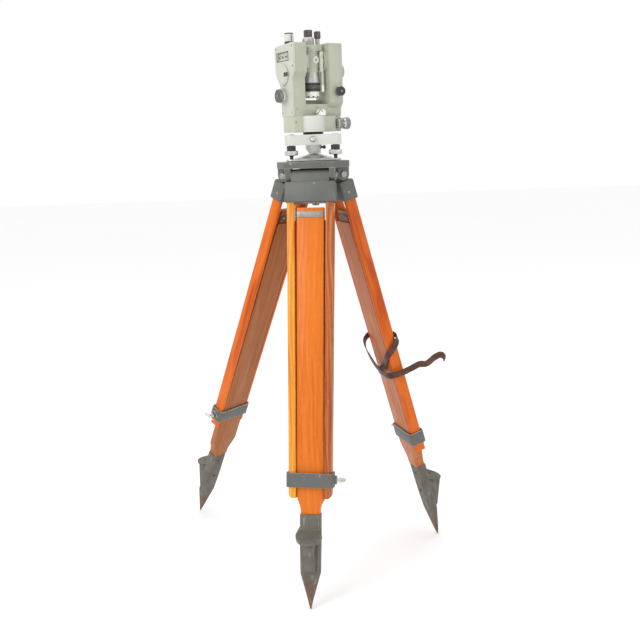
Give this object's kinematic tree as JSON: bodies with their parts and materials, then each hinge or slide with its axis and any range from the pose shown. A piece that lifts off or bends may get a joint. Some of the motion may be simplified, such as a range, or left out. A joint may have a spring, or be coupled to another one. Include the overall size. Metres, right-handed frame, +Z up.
{
  "type": "theodolite on tripod",
  "caption": "Optical theodolite with U-shaped alidade and telescope on a three-screw levelling base, fixed to a wooden extension-leg tripod with steel foot points.",
  "frame": {"origin": "centre of the bounding box at floor level, where the three steel points stand", "axes": "+Z up along the instrument's vertical axis; -Y towards the front leg's side; +X to the right of someone facing that leg"},
  "size_m": [0.653, 0.5402, 1.2187],
  "materials": {
    "black_enamel": "black enamel",
    "board_wood": "varnished hardwood, paler where rubbed",
    "brass": "turned brass",
    "chrome": "matt chromed, knurled where gripped",
    "cream_enamel": "cream enamel, light orange-peel, rubbed edges",
    "glass": "clear optical glass",
    "grey_enamel": "grey-green hammered enamel worn to metal on the edges",
    "iron": "painted iron, rusted and worn towards the point",
    "knurled_black": "dark knurled grip, worn on the crests",
    "leather": "dark brown strap leather, creased",
    "pale_enamel": "pale grey-white enamel",
    "steel": "turned steel",
    "stile_wood": "varnished hardwood, orange lacquer",
    "white_enamel": "white enamel"
  },
  "bodies": {
    "tripod_head": {"tripod_head": "grey_enamel", "hinge_bolt_front": "steel", "hinge_bolt_left": "steel", "hinge_bolt_right": "steel", "base_plate": "steel", "spring_plate": "steel", "tribrach_body": "cream_enamel", "spindle": "black_enamel", "horizontal_circle": "glass"},
    "upper_leg_front": {"leg_head_front": "grey_enamel", "stile_front_a": "stile_wood", "stile_front_b": "stile_wood", "clamp_band_front": "grey_enamel"},
    "lower_leg_front": {"slide_board_front": "board_wood", "shoe_front": "iron"},
    "leg_clamp_screw_front": {"clamp_screw_front": "chrome"},
    "upper_leg_left": {"leg_head_left": "grey_enamel", "stile_left_a": "stile_wood", "stile_left_b": "stile_wood", "clamp_band_left": "grey_enamel"},
    "lower_leg_left": {"slide_board_left": "board_wood", "shoe_left": "iron"},
    "leg_clamp_screw_left": {"clamp_screw_left": "chrome"},
    "upper_leg_right": {"leg_head_right": "grey_enamel", "stile_right_a": "stile_wood", "stile_right_b": "stile_wood", "clamp_band_right": "grey_enamel", "strap_leather": "leather", "strap_buckle": "chrome"},
    "lower_leg_right": {"slide_board_right": "board_wood", "shoe_right": "iron"},
    "leg_clamp_screw_right": {"clamp_screw_right": "chrome"},
    "fixing_screw": {"fixing_screw": "steel"},
    "foot_screw_a": {"foot_screw_a": "steel"},
    "foot_screw_b": {"foot_screw_b": "steel"},
    "foot_screw_c": {"foot_screw_c": "steel"},
    "tribrach_lock_screw": {"tribrach_lock_screw": "chrome"},
    "alidade": {"base_cover": "cream_enamel", "bearing_bush": "brass", "yoke_frame": "cream_enamel", "left_cover": "cream_enamel", "right_cover": "cream_enamel", "index_level_vial": "glass"},
    "telescope": {"telescope_body": "cream_enamel", "objective_barrel": "chrome", "objective_cell": "white_enamel", "objective_lens": "glass", "sight_tube": "pale_enamel", "vertical_circle": "glass"},
    "focus_ring": {"focus_ring": "pale_enamel"},
    "eyepiece_ring": {"eyepiece_ring": "knurled_black"},
    "reading_eyepiece": {"reading_eyepiece": "knurled_black"},
    "vertical_clamp_knob": {"vertical_clamp_knob": "knurled_black"},
    "vertical_tangent_knob": {"vertical_tangent_knob": "knurled_black"},
    "micrometer_knob": {"micrometer_knob": "cream_enamel"},
    "horizontal_clamp_ring": {"horizontal_clamp_ring": "chrome"},
    "horizontal_tangent_knob": {"horizontal_tangent_knob": "chrome"},
    "illumination_mirror": {"illumination_mirror": "cream_enamel"},
    "level_prism": {"level_prism": "pale_enamel"},
    "setting_cap": {"setting_cap": "pale_enamel"}
  },
  "joints": [
    {"name": "leg_fold_front", "type": "hinge", "parent": "tripod_head", "child": "upper_leg_front", "pos_m": [0.02676, -0.06222, 0.914], "axis": [-0.9893, 0.1461, 0], "range_deg": [-11.2, 20]},
    {"name": "leg_slide_front", "type": "slide", "parent": "upper_leg_front", "child": "lower_leg_front", "axis": [-0.0304, -0.2057, -0.9781], "range_m": [0, 0.47]},
    {"name": "leg_clamp_turn_front", "type": "hinge", "parent": "upper_leg_front", "child": "leg_clamp_screw_front", "pos_m": [0.07612, -0.20716, 0.27331], "axis": [0.9893, -0.1461, 0], "range_deg": [0, 540]},
    {"name": "leg_fold_left", "type": "hinge", "parent": "tripod_head", "child": "upper_leg_left", "pos_m": [-0.0032, 0.01347, 0.914], "axis": [0.6211, 0.7837, 0], "range_deg": [-23.4, 20]},
    {"name": "leg_slide_left", "type": "slide", "parent": "upper_leg_left", "child": "lower_leg_left", "axis": [-0.3213, 0.2546, -0.9121], "range_m": [-0.015, 0.42]},
    {"name": "leg_clamp_turn_left", "type": "hinge", "parent": "upper_leg_left", "child": "leg_clamp_screw_left", "pos_m": [-0.2571, 0.12539, 0.31656], "axis": [-0.6211, -0.7837, 0], "range_deg": [0, 540]},
    {"name": "leg_fold_right", "type": "hinge", "parent": "tripod_head", "child": "upper_leg_right", "pos_m": [0.07733, 0.00158, 0.914], "axis": [0.3681, -0.9298, 0], "range_deg": [-14.5, 20], "deforming": ["strap_leather"]},
    {"name": "leg_slide_right", "type": "slide", "parent": "upper_leg_right", "child": "lower_leg_right", "axis": [0.2453, 0.0971, -0.9646], "range_m": [0, 0.47]},
    {"name": "leg_clamp_turn_right", "type": "hinge", "parent": "upper_leg_right", "child": "leg_clamp_screw_right", "pos_m": [0.21226, 0.13029, 0.28221], "axis": [-0.3681, 0.9298, 0], "range_deg": [0, 540]},
    {"name": "fixing_screw_turn", "type": "hinge", "parent": "tripod_head", "child": "fixing_screw", "pos_m": [0.03363, -0.01572, 0.9], "axis": [0, 0, 1], "range_deg": [0, 1440]},
    {"name": "foot_screw_turn_a", "type": "hinge", "parent": "tripod_head", "child": "foot_screw_a", "pos_m": [-0.01424, -0.04336, 0.96215], "axis": [0, 0, 1], "range_deg": [-1080, 1080]},
    {"name": "foot_screw_turn_b", "type": "hinge", "parent": "tripod_head", "child": "foot_screw_b", "pos_m": [0.0815, -0.04336, 0.96215], "axis": [0, 0, 1], "range_deg": [-1080, 1080]},
    {"name": "foot_screw_turn_c", "type": "hinge", "parent": "tripod_head", "child": "foot_screw_c", "pos_m": [0.03363, 0.03955, 0.96215], "axis": [0, 0, 1], "range_deg": [-1080, 1080]},
    {"name": "tribrach_lock_turn", "type": "hinge", "parent": "tripod_head", "child": "tribrach_lock_screw", "pos_m": [0.03363, -0.06109, 0.99061], "axis": [0, -1, 0], "range_deg": [0, 540]},
    {"name": "alidade_rotation", "type": "hinge", "parent": "tripod_head", "child": "alidade", "pos_m": [0.03363, -0.01572, 1.0232], "axis": [0, 0, 1], "continuous": true},
    {"name": "telescope_tilt", "type": "hinge", "parent": "alidade", "child": "telescope", "pos_m": [0.03363, -0.01572, 1.15396], "axis": [0.848, 0.5299, 0], "continuous": true},
    {"name": "focus_turn", "type": "hinge", "parent": "telescope", "child": "focus_ring", "pos_m": [0.03013, -0.01791, 1.19521], "axis": [0, 0, 1], "range_deg": [-270, 270]},
    {"name": "eyepiece_focus_turn", "type": "hinge", "parent": "telescope", "child": "eyepiece_ring", "pos_m": [0.03013, -0.01791, 1.21171], "axis": [0, 0, 1], "range_deg": [-180, 180]},
    {"name": "reading_eyepiece_turn", "type": "hinge", "parent": "telescope", "child": "reading_eyepiece", "pos_m": [0.04972, -0.00956, 1.20759], "axis": [0, 0, 1], "range_deg": [-180, 180]},
    {"name": "vertical_clamp_turn", "type": "hinge", "parent": "alidade", "child": "vertical_clamp_knob", "pos_m": [-0.0289, -0.0402, 1.08343], "axis": [-0.848, -0.5299, 0], "range_deg": [0, 270]},
    {"name": "vertical_tangent_turn", "type": "hinge", "parent": "alidade", "child": "vertical_tangent_knob", "pos_m": [0.09222, -0.02775, 1.09003], "axis": [0.5299, -0.848, 0], "range_deg": [-1080, 1080]},
    {"name": "micrometer_turn", "type": "hinge", "parent": "alidade", "child": "micrometer_knob", "pos_m": [0.0896, 0.01926, 1.13375], "axis": [0.848, 0.5299, 0], "range_deg": [-540, 540]},
    {"name": "horizontal_clamp_turn", "type": "hinge", "parent": "alidade", "child": "horizontal_clamp_ring", "pos_m": [0.08982, -0.02001, 1.02238], "axis": [0.848, 0.5299, 0], "range_deg": [0, 120]},
    {"name": "horizontal_tangent_turn", "type": "hinge", "parent": "alidade", "child": "horizontal_tangent_knob", "pos_m": [0.10731, -0.00908, 1.02238], "axis": [0.848, 0.5299, 0], "range_deg": [-1080, 1080]},
    {"name": "mirror_open", "type": "hinge", "parent": "alidade", "child": "illumination_mirror", "pos_m": [-0.03813, -0.01795, 1.12715], "axis": [0, 0, -1], "range_deg": [0, 100]},
    {"name": "level_prism_turn", "type": "hinge", "parent": "alidade", "child": "level_prism", "pos_m": [-0.01027, -0.02953, 1.19645], "axis": [0, 0, 1], "range_deg": [-90, 90]},
    {"name": "setting_cap_turn", "type": "hinge", "parent": "alidade", "child": "setting_cap", "pos_m": [0.05304, -0.04056, 1.04795], "axis": [0, 0, 1], "range_deg": [-180, 180]}
  ]
}
